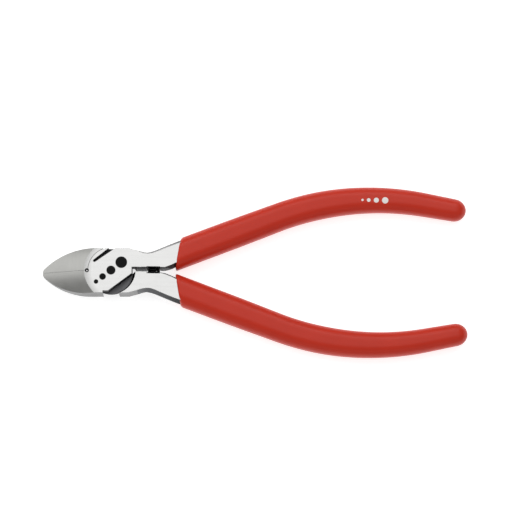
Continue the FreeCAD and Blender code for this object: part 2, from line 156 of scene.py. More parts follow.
@dataclass(frozen=True)
class DotMark:
    """A plain printed row of dots, each larger than the last, where a tool carries its print.

    Attributes:
        centre: Middle of the row, x and y in millimetres.
        angle: Direction of the row, in degrees.
        radii: Radii of the dots, in millimetres.
        gap: Space between two dots, in millimetres.
        lowest: The print is only on what lies above this height, in millimetres.
    """

    centre: tuple[float, float]
    angle: float
    radii: tuple[float, ...]
    gap: float
    lowest: float

    def spots(self) -> list[tuple[float, float, float]]:
        """Works out where the dots are.

        Returns:
            x, y and radius of each dot, in millimetres.
        """
        length = 2 * sum(self.radii) + self.gap * (len(self.radii) - 1)
        along, found = -length / 2, []
        turn = math.radians(self.angle)
        for radius in self.radii:
            middle = along + radius
            x = self.centre[0] + middle * math.cos(turn)
            y = self.centre[1] + middle * math.sin(turn)
            found.append((x, y, radius))
            along += 2 * radius + self.gap
        return found

    def mask(self, tree: bpy.types.NodeTree, place: bpy.types.NodeSocket) -> bpy.types.NodeSocket:
        """Builds the nodes that are 1 where the print is.

        Args:
            tree: The material's tree.
            place: Object coordinates in millimetres.

        Returns:
            A value socket from 0 to 1.
        """
        flat = add_node(
            tree, "ShaderNodeVectorMath", {0: place, 1: (1.0, 1.0, 0.0)}, operation="MULTIPLY"
        ).outputs[0]
        height = add_node(tree, "ShaderNodeSeparateXYZ", {0: place}).outputs["Z"]
        printed: bpy.types.NodeSocket | None = None
        for x, y, radius in self.spots():
            away = add_node(
                tree, "ShaderNodeVectorMath", {0: flat, 1: (x, y, 0.0)}, operation="DISTANCE"
            ).outputs["Value"]
            # ink edges are crisp, about a tenth of a millimetre
            dot = add_node(
                tree,
                "ShaderNodeMapRange",
                {"Value": away, "From Min": radius + 0.05, "From Max": radius - 0.05},
            ).outputs[0]
            if printed is not None:
                dot = add_node(tree, "ShaderNodeMath", {0: printed, 1: dot}, operation="MAXIMUM").outputs[0]
            printed = dot
        above = add_node(
            tree, "ShaderNodeMath", {0: height, 1: self.lowest}, operation="GREATER_THAN"
        ).outputs[0]
        return add_node(tree, "ShaderNodeMath", {0: printed, 1: above}, operation="MULTIPLY").outputs[0]


class Measure(Enum):
    """What tells a forging's surfaces apart: places in millimetres, and parts of the normal."""

    X = "place along the tool"
    Y = "place across the tool"
    Z = "place through the thickness"
    OFFSET = "distance from the middle plane between the handles"
    FROM_RIVET = "distance from the rivet's axis"
    FROM_BUFF = "distance from the middle of the buffed patch"
    FROM_THROAT = "distance from the throat hole's axis"
    AHEAD = "how far the normal points to the handles"
    UP = "how far the normal points out of the front"
    LEVEL = "how far the normal points out of the front or the back"


class Zone(Enum):
    """The zones of a forging that are finished in their own way, and those that take painted shade."""

    NECK = "neck"
    SHADE_TO_SLEEVES = "shade_to_sleeves"
    UPPER_NECK = "upper neck"
    FLAT = "flat"
    ROLL_OFF_SHADE = "run-off of the buffing wheel"
    LAP = "lap"
    GROUND = "ground"
    RECESS_SHADE = "recess_shade"
    JOINED = "joined"
    RIM_SHADE = "dark rim"
    THROAT_SHADE = "throat_shade"


@dataclass(frozen=True)
class Band:
    """A stretch of one measure, over which a zone fades in.

    Attributes:
        measure: What is measured.
        start: Where the zone is still absent.
        full: Where it is whole, which may lie below the start.
    """

    measure: Measure
    start: float
    full: float


def below(measure: Measure, limit: float) -> Band:
    """Gives the band that is whole where a measure is below a limit."""
    return Band(measure, limit + SHARP, limit - SHARP)


def between(measure: Measure, low: float, high: float) -> list[Band]:
    """Gives the two bands that keep a measure between two limits."""
    return [Band(measure, low - SHARP, low + SHARP), below(measure, high)]


@dataclass(frozen=True)
class PolishedForging:
    """Chrome vanadium tool steel, drop forged, then ground and buffed on its flat faces.

    The buffed faces are nearly mirror bright, with faint lines along the tool.  The jaws' flush
    faces and bevels are satin grey with the wheel's lines across.  The head's sides are linished.
    The necks carry painted shade, deepest towards the sleeves, and painted shade darkens the
    machined laps, the recesses and some edges.
    """

    face: Finish = Finish("#D2D2D1", 0.22)
    jaw: Finish = Finish("#B1B1AE", 0.34)
    head_side: Finish = Finish("#8A8A8A", 0.42)
    # painted shade on the neck's sides and on the walls between the handles
    neck_side_shade: Finish = Finish("#545558", 0.46)
    # painted deep shade: towards the sleeves, on the upper neck and on the necks' edges
    deep_shade: Finish = Finish("#27282A", 0.46)
    # the lap's grey is painted shade in the recess; its roughness is the machined surface
    lap: Finish = Finish("#707072", 0.42)
    # painted shade in the recesses, the slot and the throat hole; its roughness is the machined surface
    recess_shade: Finish = Finish("#2E2E30", 0.50)
    # lighter edges: wear, and a painted highlight
    worn_edge_and_highlight: Finish = Finish("#D3D2CF", 0.22)
    ink: Finish = Finish("#060606", 0.70)
    # heights of the lap's plane, the slot's floor and the front face
    lap_z: float = 4.8
    slot_z: float = 7.2
    face_z: float = 9.6
    # painted shade lies on the machined walls inside this radius and between the head's sides
    recess_shade_r: float = 9.65
    recess_shade_half: float = 8.35
    # where the linished head ends and the neck's painted shade begins
    neck_x: float = 9.8
    # ground flush on the front face: the rivet's edge, and the join of head and neck
    rivet_r: float = 4.2
    join_x: float = 10.8
    join_half: float = 6.9
    # painted shade darkens the rim of the throat hole
    throat_x: float = -9.1
    throat_shade_r: float = 0.78
    # painted shade darkens the buffed face towards the ground jaws, over the last millimetres of a round
    # front
    buff_end_x: float = 3.3
    buff_end_r: float = 13.6
    roll_off_shade_fade: float = 2.9
    roll_off_shade_level: float = 0.62
    # buffing leaves lines about 0.1 mm apart, drawn 0.9 mm apart so that they show
    buff_pitch: float = 0.9
    buff_length: float = 14.0
    # the wheel's lines on the jaws are drawn 0.7 mm apart for the same reason
    grind_pitch: float = 0.7
    grind_length: float = 9.0
    line_height: float = 0.004
    # finger marks and uneven buffing, about 5 mm across
    smudge: float = 5.0
    # how far wear and its painted highlight reach from an edge, how strong they are, and how far painted
    # shade reaches over the upper neck's edges
    edge_radius: float = 0.22
    edge_wear_and_highlight: float = 0.4
    upper_rim_shade: float = 1.0

    def make(self, mark: DotMark | None = None) -> bpy.types.Material:
        """Builds the material.

        Args:
            mark: The print on the front face, if there is one.

        Returns:
            The new material.
        """
        material, tree = blank_material("tool_steel_forged_and_buffed")
        here = add_node(tree, "ShaderNodeTexCoord")
        place = add_node(
            tree, "ShaderNodeVectorMath", {0: here.outputs["Object"], "Scale": 1 / MM}, operation="SCALE"
        ).outputs[0]
        masks = self._masks(tree, self._measures(tree, place, here.outputs["Normal"]))
        edges, rounded = self._edges(tree, self.edge_radius, masks[Zone.JOINED])
        # a wider edge mask, for painted shade over the upper neck's edges
        rims, _ = self._edges(tree, self.upper_rim_shade, masks[Zone.JOINED])
        layers = [
            # painted shade on the neck
            (masks[Zone.NECK], 1.0, self.neck_side_shade),
            # painted shade, deepest towards the sleeves
            (masks[Zone.SHADE_TO_SLEEVES], 1.0, self.deep_shade),
            # painted shade on the upper neck
            (masks[Zone.UPPER_NECK], 1.0, self.deep_shade),
            (masks[Zone.FLAT], 1.0, self.face),
            # painted shade on the lap, in the recess
            (masks[Zone.LAP], 1.0, self.lap),
            (masks[Zone.GROUND], 1.0, self.jaw),
            # painted shade in the recesses and the slot
            (masks[Zone.RECESS_SHADE], 1.0, self.recess_shade),
            # worn edges, lighter partly by wear and partly as a painted highlight
            (edges, self.edge_wear_and_highlight, self.worn_edge_and_highlight),
            # painted shade on the necks' edges and the lower jaw's rim
            (edges, masks[Zone.RIM_SHADE], self.deep_shade),
            # painted shade over the upper neck's edges
            (rims, masks[Zone.UPPER_NECK], self.deep_shade),
            # painted shade at the throat hole's rim
            (masks[Zone.THROAT_SHADE], 1.0, self.recess_shade),
        ]
        metallic: object = 1.0
        if mark is not None:
            inked = mark.mask(tree, place)
            layers.append((inked, 1.0, self.ink))
            metallic = add_node(
                tree, "ShaderNodeMath", {0: 1.0, 1: inked}, operation="SUBTRACT"
            ).outputs[0]
        colour, roughness = self._coat(tree, layers)
        lines = self._lines(tree, place, masks[Zone.GROUND])
        bump = add_node(
            tree,
            "ShaderNodeBump",
            {"Height": lines, "Strength": 0.5, "Distance": self.line_height * MM, "Normal": rounded},
        ).outputs[0]
        surface = add_node(
            tree,
            "ShaderNodeBsdfPrincipled",
            {
                "Base Color": self._tone(tree, colour, lines, masks[Zone.ROLL_OFF_SHADE]),
                "Metallic": metallic,
                "Roughness": self._smudged(tree, place, roughness),
                "Specular IOR Level": 0.2,
                "Normal": bump,
            },
        )
        add_node(tree, "ShaderNodeOutputMaterial", {"Surface": surface.outputs[0]})
        return material

    def _zones(self) -> dict[Zone, list[list[Band]]]:
        """Says where each zone is.

        Returns:
            The zone's parts.  Each part is where all of its bands overlap.
        """
        x, y, z, up, level = Measure.X, Measure.Y, Measure.Z, Measure.UP, Measure.LEVEL
        flat = Band(level, 0.95, 0.98)
        on_face = Band(z, self.face_z - 0.21, self.face_z - 0.19)
        walls = Band(level, 0.8, 0.5)
        return {
            # painted shade on the necks, past the linished head
            Zone.NECK: [[Band(x, self.neck_x - 0.2, self.neck_x + 0.2)]],
            # painted shade, deepest towards the sleeves, and over the whole upper neck and its edges
            Zone.SHADE_TO_SLEEVES: [[Band(x, 12.0, 24.0)]],
            Zone.UPPER_NECK: [[Band(x, 10.2, 10.8), Band(y, 3.6, 4.4)]],
            Zone.FLAT: [[flat]],
            # painted shade where the buffed face runs off
            Zone.ROLL_OFF_SHADE: [
                [
                    flat,
                    below(x, 0.0),
                    Band(Measure.FROM_BUFF, self.buff_end_r - self.roll_off_shade_fade, self.buff_end_r),
                ]
            ],
            # the lap, which takes painted shade
            Zone.LAP: [[flat, *between(z, self.lap_z - 0.3, self.lap_z + 0.3)]],
            # the flush faces lean to the tips, and the bevels face down
            Zone.GROUND: [
                [Band(Measure.AHEAD, -0.12, -0.25), Band(up, 0.4, 0.6)],
                [Band(up, -0.2, -0.4), Band(level, 0.95, 0.9), below(x, -5.0)],
            ],
            # painted shade on the recesses' walls and the slot's floor
            Zone.RECESS_SHADE: [
                [walls, below(Measure.FROM_RIVET, self.recess_shade_r), below(Measure.OFFSET, self.recess_shade_half)],
                [flat, *between(z, self.slot_z - 0.2, self.slot_z + 0.2)],
            ],
            Zone.JOINED: [
                [on_face, *between(Measure.FROM_RIVET, self.rivet_r - 0.5, self.rivet_r + 0.5)],
                [
                    on_face,
                    *between(x, self.join_x - 0.5, self.join_x + 0.5),
                    below(Measure.OFFSET, self.join_half),
                ],
            ],
            # painted shade on the necks' edges, and on the rim of the lower jaw
            Zone.RIM_SHADE: [[Band(x, 10.2, 11.0)], [Band(x, -9.6, -10.4), Band(y, -2.0, -4.0)]],
            # painted shade at the throat hole
            Zone.THROAT_SHADE: [[below(Measure.FROM_THROAT, self.throat_shade_r)]],
        }

    def _measures(
        self, tree: bpy.types.NodeTree, place: bpy.types.NodeSocket, normal: bpy.types.NodeSocket
    ) -> dict[Measure, bpy.types.NodeSocket]:
        """Measures the surface.

        Args:
            tree: The material's tree.
            place: Object coordinates in millimetres.
            normal: The object's own normal.

        Returns:
            A value for each measure.
        """
        spot = add_node(tree, "ShaderNodeSeparateXYZ", {0: place}).outputs
        facing = add_node(tree, "ShaderNodeSeparateXYZ", {0: normal}).outputs
        found = {
            Measure.X: spot["X"],
            Measure.Y: spot["Y"],
            Measure.Z: spot["Z"],
            Measure.AHEAD: facing["X"],
            Measure.UP: facing["Z"],
        }
        for measure, value in ((Measure.OFFSET, spot["Y"]), (Measure.LEVEL, facing["Z"])):
            found[measure] = add_node(
                tree, "ShaderNodeMath", {0: value}, operation="ABSOLUTE"
            ).outputs[0]
        flat_place = add_node(
            tree, "ShaderNodeVectorMath", {0: place, 1: (1.0, 1.0, 0.0)}, operation="MULTIPLY"
        ).outputs[0]
        middles = (
            (Measure.FROM_RIVET, 0.0),
            (Measure.FROM_BUFF, self.buff_end_x),
            (Measure.FROM_THROAT, self.throat_x),
        )
        for measure, x in middles:
            found[measure] = add_node(
                tree, "ShaderNodeVectorMath", {0: flat_place, 1: (x, 0.0, 0.0)}, operation="DISTANCE"
            ).outputs["Value"]
        return found

    def _masks(
        self, tree: bpy.types.NodeTree, measures: Mapping[Measure, bpy.types.NodeSocket]
    ) -> dict[Zone, bpy.types.NodeSocket]:
        """Builds the mask of every zone.

        Args:
            tree: The material's tree.
            measures: A value for each measure.

        Returns:
            A value from 0 to 1 for each zone.
        """
        masks = {}
        for zone, parts in self._zones().items():
            whole: object = 0.0
            for bands in parts:
                share: object = 1.0
                for band in bands:
                    faded = add_node(
                        tree,
                        "ShaderNodeMapRange",
                        {"Value": measures[band.measure], "From Min": band.start, "From Max": band.full},
                    ).outputs[0]
                    share = add_node(
                        tree, "ShaderNodeMath", {0: share, 1: faded}, operation="MULTIPLY"
                    ).outputs[0]
                whole = add_node(
                    tree, "ShaderNodeMath", {0: whole, 1: share}, operation="MAXIMUM"
                ).outputs[0]
            masks[zone] = whole
        return masks

    def _edges(
        self, tree: bpy.types.NodeTree, radius: float, joined: bpy.types.NodeSocket
    ) -> tuple[bpy.types.NodeSocket, bpy.types.NodeSocket]:
        """Finds the edges, which tumbling and use have rounded and brightened; the brightening is partly a
        painted highlight, and some edges take painted shade instead.

        Args:
            tree: The material's tree.
            radius: How far from an edge the mask reaches, for wear with its painted highlight or for painted
                shade, in millimetres.
            joined: A mask of the joins that are ground flush, and so show no edge.

        Returns:
            A mask that grows towards an edge, and the rounded normal.
        """
        flat = add_node(tree, "ShaderNodeNewGeometry").outputs["Normal"]
        rounded = add_node(
            tree, "ShaderNodeBevel", {"Radius": radius * MM}, samples=6
        ).outputs[0]
        rounded = add_node(
            tree, "ShaderNodeMix", {0: joined, 4: rounded, 5: flat}, data_type="VECTOR"
        ).outputs[1]
        same = add_node(
            tree, "ShaderNodeVectorMath", {0: rounded, 1: flat}, operation="DOT_PRODUCT"
        ).outputs["Value"]
        edge = add_node(
            tree, "ShaderNodeMapRange", {"Value": same, "From Min": 0.99, "From Max": 0.88}
        ).outputs[0]
        return edge, rounded

    def _coat(
        self, tree: bpy.types.NodeTree, layers: list[tuple[bpy.types.NodeSocket, object, Finish]]
    ) -> tuple[bpy.types.NodeSocket, bpy.types.NodeSocket]:
        """Lays the finishes and the painted shade over the linished steel, each over the ones before it.

        Args:
            tree: The material's tree.
            layers: Mask, strength and finish of each layer.

        Returns:
            The colour and the roughness.
        """
        colour: object = linear(self.head_side.colour)
        roughness: object = self.head_side.roughness
        for mask, strength, finish in layers:
            share = add_node(
                tree, "ShaderNodeMath", {0: mask, 1: strength}, operation="MULTIPLY"
            ).outputs[0]
            colour = add_node(
                tree,
                "ShaderNodeMix",
                {0: share, 6: colour, 7: linear(finish.colour)},
                data_type="RGBA",
            ).outputs[2]
            roughness = add_node(
                tree, "ShaderNodeMix", {0: share, 2: roughness, 3: finish.roughness}
            ).outputs[0]
        return colour, roughness

    def _smudged(
        self, tree: bpy.types.NodeTree, place: bpy.types.NodeSocket, roughness: bpy.types.NodeSocket
    ) -> bpy.types.NodeSocket:
        """Shifts the gloss a little where fingers and the wheel have left it uneven.

        Args:
            tree: The material's tree.
            place: Object coordinates in millimetres.
            roughness: The finishes' roughness.

        Returns:
            The roughness to use.
        """
        smudges = add_node(
            tree, "ShaderNodeTexNoise", {"Vector": place, "Scale": 1 / self.smudge, "Detail": 3.0}
        ).outputs[0]
        shift = add_node(
            tree,
            "ShaderNodeMapRange",
            {"Value": smudges, "From Min": 0.3, "From Max": 0.7, "To Min": -0.04, "To Max": 0.05},
        ).outputs[0]
        return add_node(tree, "ShaderNodeMath", {0: roughness, 1: shift}).outputs[0]

    def _tone(
        self,
        tree: bpy.types.NodeTree,
        colour: bpy.types.NodeSocket,
        lines: bpy.types.NodeSocket,
        roll_off_shade: bpy.types.NodeSocket,
    ) -> bpy.types.NodeSocket:
        """Varies the colour along the lines, and darkens it with painted shade where the buffed face runs off
        to the jaws.

        Args:
            tree: The material's tree.
            colour: The finishes' colour.
            lines: The lines' height.
            roll_off_shade: Mask of the painted shade where the buffed face runs off.

        Returns:
            The colour to use.
        """
        streaks = add_node(
            tree, "ShaderNodeMapRange", {"Value": lines, "To Min": 0.95, "To Max": 1.04}
        ).outputs[0]
        # painted shade: darker where the buffed face runs off
        roll_off_shading = add_node(
            tree, "ShaderNodeMapRange", {"Value": roll_off_shade, "To Min": 1.0, "To Max": self.roll_off_shade_level}
        ).outputs[0]
        tone = add_node(
            tree, "ShaderNodeMath", {0: streaks, 1: roll_off_shading}, operation="MULTIPLY"
        ).outputs[0]
        return add_node(
            tree, "ShaderNodeVectorMath", {0: colour, "Scale": tone}, operation="SCALE"
        ).outputs[0]

    def _lines(
        self,
        tree: bpy.types.NodeTree,
        place: bpy.types.NodeSocket,
        ground: bpy.types.NodeSocket,
    ) -> bpy.types.NodeSocket:
        """Draws the buffing lines along the tool, and the wheel's lines across the jaws.

        Args:
            tree: The material's tree.
            place: Object coordinates in millimetres.
            ground: The mask of the ground faces.

        Returns:
            A height from 0 to 1.
        """
        along = (1 / self.buff_length, 1 / self.buff_pitch, 1 / self.buff_pitch)
        across = (1 / self.grind_pitch, 1 / self.grind_length, 1 / self.grind_length)
        made = []
        for stretch in (along, across):
            where = add_node(
                tree, "ShaderNodeVectorMath", {0: place, 1: stretch}, operation="MULTIPLY"
            ).outputs[0]
            made.append(
                add_node(
                    tree, "ShaderNodeTexNoise", {"Vector": where, "Scale": 1.0, "Detail": 4.0}
                ).outputs[0]
            )
        return add_node(tree, "ShaderNodeMix", {0: ground, 2: made[0], 3: made[1]}).outputs[0]


@dataclass(frozen=True)
class BlackOxideWire:
    """Music wire, drawn, coiled and blackened: near black with a satin sheen and paler rubbed crowns."""

    colour: str = "#161617"
    rubbed: str = "#3A3A3C"
    roughness: float = 0.42
    # the drawing die leaves patches about 1.5 mm long
    patch: float = 1.5

    def make(self) -> bpy.types.Material:
        """Builds the material.

        Returns:
            The new material.
        """
        material, tree = blank_material("spring_wire_black_oxide")
        here = add_node(tree, "ShaderNodeTexCoord")
        noise = add_node(
            tree,
            "ShaderNodeTexNoise",
            {"Vector": here.outputs["Object"], "Scale": 1 / (self.patch * MM), "Detail": 2.0},
        ).outputs[0]
        share = add_node(
            tree, "ShaderNodeMapRange", {"Value": noise, "From Min": 0.5, "From Max": 0.75}
        ).outputs[0]
        colour = add_node(
            tree,
            "ShaderNodeMix",
            {0: share, 6: linear(self.colour), 7: linear(self.rubbed)},
            data_type="RGBA",
        ).outputs[2]
        roughness = add_node(
            tree,
            "ShaderNodeMapRange",
            {"Value": noise, "To Min": self.roughness - 0.08, "To Max": self.roughness + 0.08},
        ).outputs[0]
        surface = add_node(
            tree,
            "ShaderNodeBsdfPrincipled",
            {"Base Color": colour, "Metallic": 0.7, "Roughness": roughness},
        )
        add_node(tree, "ShaderNodeOutputMaterial", {"Surface": surface.outputs[0]})
        return material


@dataclass(frozen=True)
class DippedVinyl:
    """Soft PVC plastisol, dipped and cured: one even colour, a soft gloss and a slightly wavy skin."""

    colour: str = "#CD3019"
    deep: str = "#C52D17"
    ink: str = "#F1EDEA"
    ior: float = 1.53
    # the cured skin gives back about half of a polished surface's gloss
    gloss: float = 0.28
    roughness: float = 0.36
    # the skin waves over about 7 mm where the dip ran, and is stippled at 0.8 mm
    wave: float = 7.0
    wave_height: float = 0.05
    stipple: float = 0.8
    stipple_height: float = 0.006

    def make(self, mark: DotMark | None = None) -> bpy.types.Material:
        """Builds the material.

        Args:
            mark: The print on the sleeve, if there is one.

        Returns:
            The new material.
        """
        material, tree = blank_material("plastisol_vinyl_dipped")
        here = add_node(tree, "ShaderNodeTexCoord")
        place = add_node(
            tree, "ShaderNodeVectorMath", {0: here.outputs["Object"], "Scale": 1 / MM}, operation="SCALE"
        ).outputs[0]
        waves = add_node(
            tree, "ShaderNodeTexNoise", {"Vector": place, "Scale": 1 / self.wave, "Detail": 1.0}
        ).outputs[0]
        stipple = add_node(
            tree, "ShaderNodeTexNoise", {"Vector": place, "Scale": 1 / self.stipple, "Detail": 2.0}
        ).outputs[0]
        colour = add_node(
            tree,
            "ShaderNodeMix",
            {0: waves, 6: linear(self.deep), 7: linear(self.colour)},
            data_type="RGBA",
        ).outputs[2]
        roughness = add_node(
            tree,
            "ShaderNodeMapRange",
            {"Value": stipple, "To Min": self.roughness - 0.05, "To Max": self.roughness + 0.05},
        ).outputs[0]
        if mark is not None:
            colour = add_node(
                tree,
                "ShaderNodeMix",
                {0: mark.mask(tree, place), 6: colour, 7: linear(self.ink)},
                data_type="RGBA",
            ).outputs[2]
        skin = add_node(
            tree, "ShaderNodeBump", {"Height": waves, "Distance": self.wave_height * MM}
        ).outputs[0]
        skin = add_node(
            tree,
            "ShaderNodeBump",
            {"Height": stipple, "Distance": self.stipple_height * MM, "Normal": skin},
        ).outputs[0]
        surface = add_node(
            tree,
            "ShaderNodeBsdfPrincipled",
            {
                "Base Color": colour,
                "Roughness": roughness,
                "IOR": self.ior,
                "Specular IOR Level": self.gloss,
                "Normal": skin,
            },
        )
        add_node(tree, "ShaderNodeOutputMaterial", {"Surface": surface.outputs[0]})
        return material


@dataclass(frozen=True)
class OpalSheet:
    """Opal acrylic sheet of a light table: matt white, lit from below, so it takes almost no shadow."""

    colour: str = "#D2D2D2"
    glow: float = 0.74
    grain: float = 1.2

    def make(self) -> bpy.types.Material:
        """Builds the material.

        Returns:
            The new material.
        """
        material, tree = blank_material("acrylic_opal_matt")
        here = add_node(tree, "ShaderNodeTexCoord")
        tooth = add_node(
            tree,
            "ShaderNodeTexNoise",
            {"Vector": here.outputs["Object"], "Scale": 1 / (self.grain * MM)},
        ).outputs[0]
        bump = add_node(tree, "ShaderNodeBump", {"Height": tooth, "Distance": 0.01 * MM}).outputs[0]
        surface = add_node(
            tree,
            "ShaderNodeBsdfPrincipled",
            {
                "Base Color": linear(self.colour),
                "Roughness": 0.9,
                "Normal": bump,
                "Emission Color": (1.0, 1.0, 1.0, 1.0),
                "Emission Strength": self.glow,
            },
        )
        add_node(tree, "ShaderNodeOutputMaterial", {"Surface": surface.outputs[0]})
        return material


def skin_rings(
    name: str, rings: list[list[Vector]], close_start: bool, close_end: bool
) -> bpy.types.Object:
    """Makes a smooth tube from rings of points that all have the same count.

    Args:
        name: The piece's name.
        rings: The rings in order, in metres.
        close_start: Whether the first ring is filled.
        close_end: Whether the last ring is filled.

    Returns:
        The new object, in the scene.
    """
    shape = bmesh.new()
    made = [[shape.verts.new(point) for point in ring] for ring in rings]
    count = len(made[0])
    for ring, after in zip(made, made[1:]):
        for k in range(count):
            shape.faces.new((ring[k], ring[(k + 1) % count], after[(k + 1) % count], after[k]))
    if close_start:
        shape.faces.new(tuple(reversed(made[0])))
    if close_end:
        shape.faces.new(tuple(made[-1]))
    bmesh.ops.recalc_face_normals(shape, faces=shape.faces)
    for face in shape.faces:
        face.smooth = True
    mesh = bpy.data.meshes.new(name)
    shape.to_mesh(mesh)
    shape.free()
    piece = bpy.data.objects.new(name, mesh)
    bpy.context.scene.collection.objects.link(piece)
    return piece


@dataclass
class Forgings:
    """The two forged halves and the rivet, which keep their engineered shapes."""

    steel: PolishedForging
    mark: DotMark

    def dress(self) -> None:
        """Gives the halves and the rivet their steel, and the front ones the print."""
        plain, printed = self.steel.make(), self.steel.make(self.mark)
        for node, material in (
            ("front_half", printed),
            ("pivot_rivet", printed),
            ("back_half", plain),
        ):
            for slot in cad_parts[node].material_slots:
                slot.material = material
            LOG.info("%s: %s", node, material.name)


@dataclass
class DippedSleeve:
    """A vinyl sleeve on a handle: closed round end, rounded lip, cut off at a slant in front.

    The line of the handle is a straight run, a bend and a straight end.  A station on it is the
    distance from the start of the bend.
    """

    side: Side
    node: str
    body: Body
    bend_x: float = 99.0
    bend_y: float = 75.3
    bend_r: float = 103.0
    splay: float = 20.8
    tail_turn: float = 10.5
    # the slanting front passes through this point, leaning by this many degrees
    cut_x: float = 25.0
    cut_y: float = 7.0
    cut_lean: float = 9.5
    cap: float = 4.58
    # radius of the front lip, and how far in from the skin its front face goes
    lip: float = 1.0
    wall: float = 2.4
    middle_z: float = 4.8
    around: int = 64
    along: int = 64
    # station, width, height and corner radius of the sections
    sections: tuple[tuple[float, float, float, float], ...] = (
        (-46.0, 11.0, 9.5, 4.2),
        (-30.0, 11.0, 9.5, 4.2),
        (-15.0, 10.9, 9.5, 4.2),
        (0.0, 10.5, 9.45, 4.1),
        (18.7, 10.3, 9.4, 4.1),
        (37.4, 9.6, 9.2, 4.0),
        (56.3, 8.9, 8.8, 3.9),
        (67.9, 8.4, 8.4, 3.8),
    )

    def _line(self, station: float) -> tuple[Vector, Vector, Vector]:
        """Finds a point of the handle's line.

        Args:
            station: Distance from the start of the bend, in millimetres.

        Returns:
            The point, the direction and the outward direction across, in millimetres.
        """
        bend = self.bend_r * math.radians(self.splay + self.tail_turn)
        on_bend = min(max(station, 0.0), bend)
        turn = math.radians(self.splay) - on_bend / self.bend_r
        run = station - on_bend
        ahead = Vector((math.cos(turn), math.sin(turn), 0.0))
        across = Vector((-math.sin(turn), math.cos(turn), 0.0))
        x = self.bend_x - self.bend_r * math.sin(turn)
        y = self.bend_r * math.cos(turn) - self.bend_y
        return Vector((x, y, 0.0)) + ahead * run, ahead, across

    def _size(self, station: float) -> tuple[float, float, float]:
        """Reads the section's size between the given ones, on a smooth curve.

        Args:
            station: Distance from the start of the bend, in millimetres.

        Returns:
            Width, height and corner radius, in millimetres.
        """
        table = self.sections
        station = min(max(station, table[0][0]), table[-1][0])
        k = max(i for i in range(len(table) - 1) if table[i][0] <= station)
        before, start = table[max(k - 1, 0)], table[k]
        end, after = table[k + 1], table[min(k + 2, len(table) - 1)]
        span = end[0] - start[0]
        t = (station - start[0]) / span
        sizes = []
        for column in (1, 2, 3):
            rise = (end[column] - before[column]) / (end[0] - before[0]) * span
            fall = (after[column] - start[column]) / (after[0] - start[0]) * span
            sizes.append(
                (2 * t**3 - 3 * t**2 + 1) * start[column]
                + (t**3 - 2 * t**2 + t) * rise
                + (3 * t**2 - 2 * t**3) * end[column]
                + (t**3 - t**2) * fall
            )
        return sizes[0], sizes[1], sizes[2]

    def _outline(self, width: float, height: float, corner: float) -> list[tuple[float, float]]:
        """Walks round a rounded rectangle in even steps.

        Args:
            width: Across the handle.
            height: Through the handle.
            corner: Radius of the corners.

        Returns:
            Points across and through, in millimetres.
        """
        flat_w, flat_h = width - 2 * corner, height - 2 * corner
        arc = math.pi * corner / 2
        total = 2 * (flat_w + flat_h) + 4 * arc
        points = []
        for k in range(self.around):
            walk = total * k / self.around
            for quarter in range(4):
                straight = flat_h if quarter % 2 == 0 else flat_w
                turn = quarter * math.pi / 2
                out = width / 2 if quarter % 2 == 0 else height / 2
                if walk < straight:
                    x, y = out, walk - straight / 2
                elif walk < straight + arc:
                    angle = (walk - straight) / corner
                    x = out - corner + corner * math.cos(angle)
                    y = straight / 2 + corner * math.sin(angle)
                else:
                    walk -= straight + arc
                    continue
                points.append(
                    (x * math.cos(turn) - y * math.sin(turn), x * math.sin(turn) + y * math.cos(turn))
                )
                break
        return points

    def _place(self, station: float, across: float, through: float) -> Vector:
        """Puts a section's point where it belongs.

        Args:
            station: Distance from the start of the bend.
            across: Outward from the handle's line.
            through: Up from the middle plane.

        Returns:
            The point in metres.
        """
        point, _, outward = self._line(station)
        point = point + outward * across
        return Vector((point.x, point.y * self.side.value, self.middle_z + through)) * MM

    def _front(self, across: float) -> float:
        """Finds the station where the slanting front cuts a line that runs along the handle.

        Args:
            across: That line's distance outward from the handle's own line.

        Returns:
            The station, in millimetres.
        """
        start, ahead, outward = self._line(0.0)
        point = start + outward * across
        lean = math.tan(math.radians(self.cut_lean))
        gap = self.cut_x + (point.y - self.cut_y) * lean - point.x
        return gap / (ahead.x - ahead.y * lean)

    def _lip_rings(self) -> list[list[Vector]]:
        """Makes the slanting front face and its rounded lip, from the inside out.

        Returns:
            The rings, each a list of points.
        """
        rings = []
        size = self._size(self.sections[0][0])
        steps = [math.radians(a) for a in (90, 72, 54, 36, 18, 0)]
        insets = [(self.wall, 0.0)]
        insets += [(self.lip * (1 - math.cos(a)), self.lip * (1 - math.sin(a))) for a in steps]
        for inset, back in insets:
            outline = self._outline(size[0] - 2 * inset, size[1] - 2 * inset, size[2] - inset)
            rings.append([self._place(self._front(a) + back, a, t) for a, t in outline])
        return rings

    def _tube_rings(self) -> list[list[Vector]]:
        """Makes the rings from the lip to the start of the closed end.

        Returns:
            The rings, each a list of points.
        """
        rings = []
        first, last = self.sections[1][0], self.sections[-1][0]
        outline = self._outline(*self._size(first))
        for share in (0.15, 0.3, 0.45, 0.6, 0.75, 0.9):
            ring = []
            for across, through in outline:
                begin = self._front(across) + self.lip
                ring.append(self._place(begin + (first - begin) * share, across, through))
            rings.append(ring)
        for k in range(self.along + 1):
            station = first + (last - first) * k / self.along
            outline = self._outline(*self._size(station))
            rings.append([self._place(station, a, t) for a, t in outline])
        return rings

    def _cap_rings(self) -> list[list[Vector]]:
        """Makes the domed end.

        Returns:
            The rings, each a list of points.
        """
        rings = []
        last = self.sections[-1][0]
        size = self._size(last)
        for degrees in (12, 24, 36, 48, 60, 70, 79, 86):
            share = math.cos(math.radians(degrees))
            station = last + self.cap * math.sin(math.radians(degrees))
            outline = self._outline(*(share * s for s in size))
            rings.append([self._place(station, a, t) for a, t in outline])
        return rings

